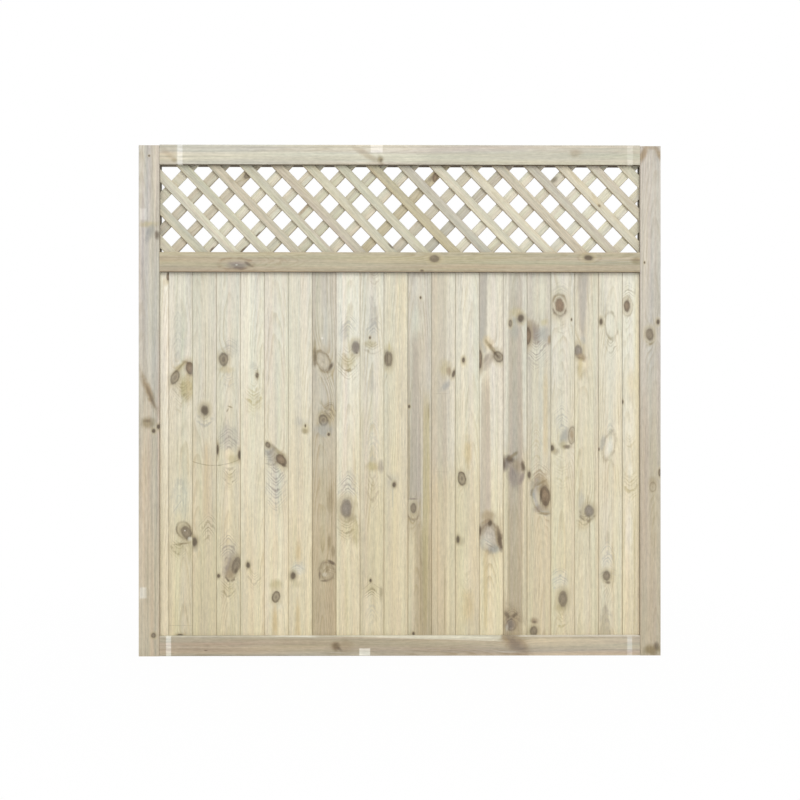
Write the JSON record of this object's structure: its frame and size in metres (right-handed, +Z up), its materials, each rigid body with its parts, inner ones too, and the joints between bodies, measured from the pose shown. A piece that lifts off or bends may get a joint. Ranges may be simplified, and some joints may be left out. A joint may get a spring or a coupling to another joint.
{
  "type": "lattice top fence panel",
  "caption": "Framed softwood fence panel: upright tongue and groove boards under a strip of diagonal lattice, made to stand between two posts.",
  "frame": {"origin": "middle of the panel's foot, half-way through its depth, on the ground line", "axes": "+X to the right seen from the front, +Y towards the back (the boarded face in the picture looks along -Y), +Z up"},
  "size_m": [1.83, 0.045, 1.791],
  "materials": {
    "stile_timber": "planed pressure-treated softwood, weathered grey-beige",
    "rail_timber": "planed pressure-treated softwood, tan with a faint green cast",
    "board_timber": "planed knotty softwood boards, straw with knots and stain streaks",
    "slat_timber": "planed thin softwood slats, cream to tan",
    "galvanised_steel": "dull zinc coat"
  },
  "bodies": {
    "root": {"left_stile": "stile_timber", "right_stile": "stile_timber", "top_rail": "rail_timber", "middle_rail": "rail_timber", "bottom_rail": "rail_timber", "board_01": "board_timber", "board_02": "board_timber", "board_03": "board_timber", "board_04": "board_timber", "board_05": "board_timber", "board_06": "board_timber", "board_07": "board_timber", "board_08": "board_timber", "board_09": "board_timber", "board_10": "board_timber", "board_11": "board_timber", "board_12": "board_timber", "board_13": "board_timber", "board_14": "board_timber", "board_15": "board_timber", "board_16": "board_timber", "board_17": "board_timber", "board_18": "board_timber", "board_19": "board_timber", "board_20": "board_timber", "board_21": "board_timber", "front_slat_01": "slat_timber", "front_slat_02": "slat_timber", "front_slat_03": "slat_timber", "front_slat_04": "slat_timber", "front_slat_05": "slat_timber", "front_slat_06": "slat_timber", "front_slat_07": "slat_timber", "front_slat_08": "slat_timber", "front_slat_09": "slat_timber", "front_slat_10": "slat_timber", "front_slat_11": "slat_timber", "front_slat_12": "slat_timber", "front_slat_13": "slat_timber", "front_slat_14": "slat_timber", "front_slat_15": "slat_timber", "front_slat_16": "slat_timber", "back_slat_01": "slat_timber", "back_slat_02": "slat_timber", "back_slat_03": "slat_timber", "back_slat_04": "slat_timber", "back_slat_05": "slat_timber", "back_slat_06": "slat_timber", "back_slat_07": "slat_timber", "back_slat_08": "slat_timber", "back_slat_09": "slat_timber", "back_slat_10": "slat_timber", "back_slat_11": "slat_timber", "back_slat_12": "slat_timber", "back_slat_13": "slat_timber", "back_slat_14": "slat_timber", "back_slat_15": "slat_timber", "corner_slats": "slat_timber", "tenon_nails": "galvanised_steel"}
  },
  "joints": []
}
